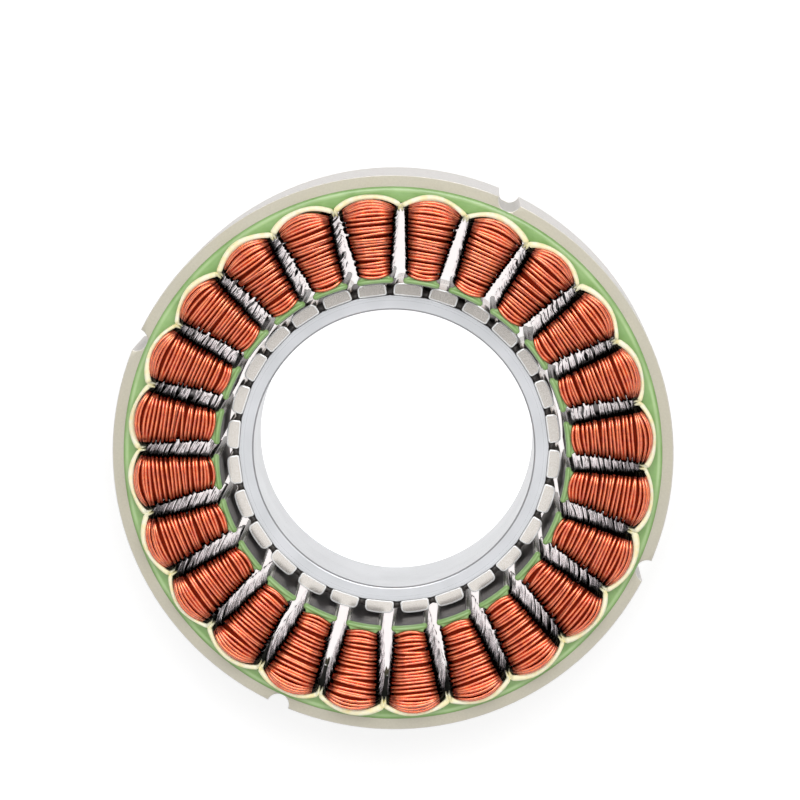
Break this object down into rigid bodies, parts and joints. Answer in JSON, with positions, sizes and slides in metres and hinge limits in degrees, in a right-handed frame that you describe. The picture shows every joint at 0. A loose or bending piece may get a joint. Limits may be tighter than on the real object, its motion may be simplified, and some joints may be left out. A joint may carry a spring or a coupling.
{
  "type": "frameless motor",
  "caption": "Ring-shaped frameless motor kit: a stator with a coil on every tooth, and inside it a free-turning hub ring with surface magnets and a large open bore.",
  "frame": {"origin": "on the motor's axis, in the plane on which the rear end turns and the hub's rear face rest", "axes": "+Z along the motor's axis towards the wound face that shows, +X through a tooth and its notch"},
  "size_m": [0.1, 0.1, 0.0314],
  "materials": {
    "lamination_steel": "bare punched laminations, ground outside",
    "insulating_coat": "green insulating coat, glossy with soft edges",
    "paper": "cream insulating paper",
    "copper_wire": "enamelled copper wire, glossy orange-red",
    "sleeving": "varnished woven sleeving",
    "rotor_steel": "fine turned steel, satin",
    "magnet": "nickel plate, satin with bright edges"
  },
  "bodies": {
    "stator": {"stator_core": "lamination_steel", "insulating_coat": "insulating_coat", "paper_cuffs": "paper", "coil_01": "copper_wire", "coil_02": "copper_wire", "coil_03": "copper_wire", "coil_04": "copper_wire", "coil_05": "copper_wire", "coil_06": "copper_wire", "coil_07": "copper_wire", "coil_08": "copper_wire", "coil_09": "copper_wire", "coil_10": "copper_wire", "coil_11": "copper_wire", "coil_12": "copper_wire", "coil_13": "copper_wire", "coil_14": "copper_wire", "coil_15": "copper_wire", "coil_16": "copper_wire", "coil_17": "copper_wire", "coil_18": "copper_wire", "coil_19": "copper_wire", "coil_20": "copper_wire", "coil_21": "copper_wire", "coil_22": "copper_wire", "coil_23": "copper_wire", "coil_24": "copper_wire", "crossovers_u": "sleeving", "crossovers_v": "sleeving", "crossovers_w": "sleeving", "star_link": "sleeving"},
    "rotor": {"rotor_hub": "rotor_steel", "magnet_01": "magnet", "magnet_02": "magnet", "magnet_03": "magnet", "magnet_04": "magnet", "magnet_05": "magnet", "magnet_06": "magnet", "magnet_07": "magnet", "magnet_08": "magnet", "magnet_09": "magnet", "magnet_10": "magnet", "magnet_11": "magnet", "magnet_12": "magnet", "magnet_13": "magnet", "magnet_14": "magnet", "magnet_15": "magnet", "magnet_16": "magnet", "magnet_17": "magnet", "magnet_18": "magnet", "magnet_19": "magnet", "magnet_20": "magnet", "magnet_21": "magnet", "magnet_22": "magnet", "magnet_23": "magnet", "magnet_24": "magnet", "magnet_25": "magnet", "magnet_26": "magnet", "magnet_27": "magnet", "magnet_28": "magnet"}
  },
  "joints": [
    {"name": "rotor_spin", "type": "hinge", "parent": "stator", "child": "rotor", "pos_m": [0, 0, 0.0095], "axis": [0, 0, 1], "continuous": true}
  ]
}
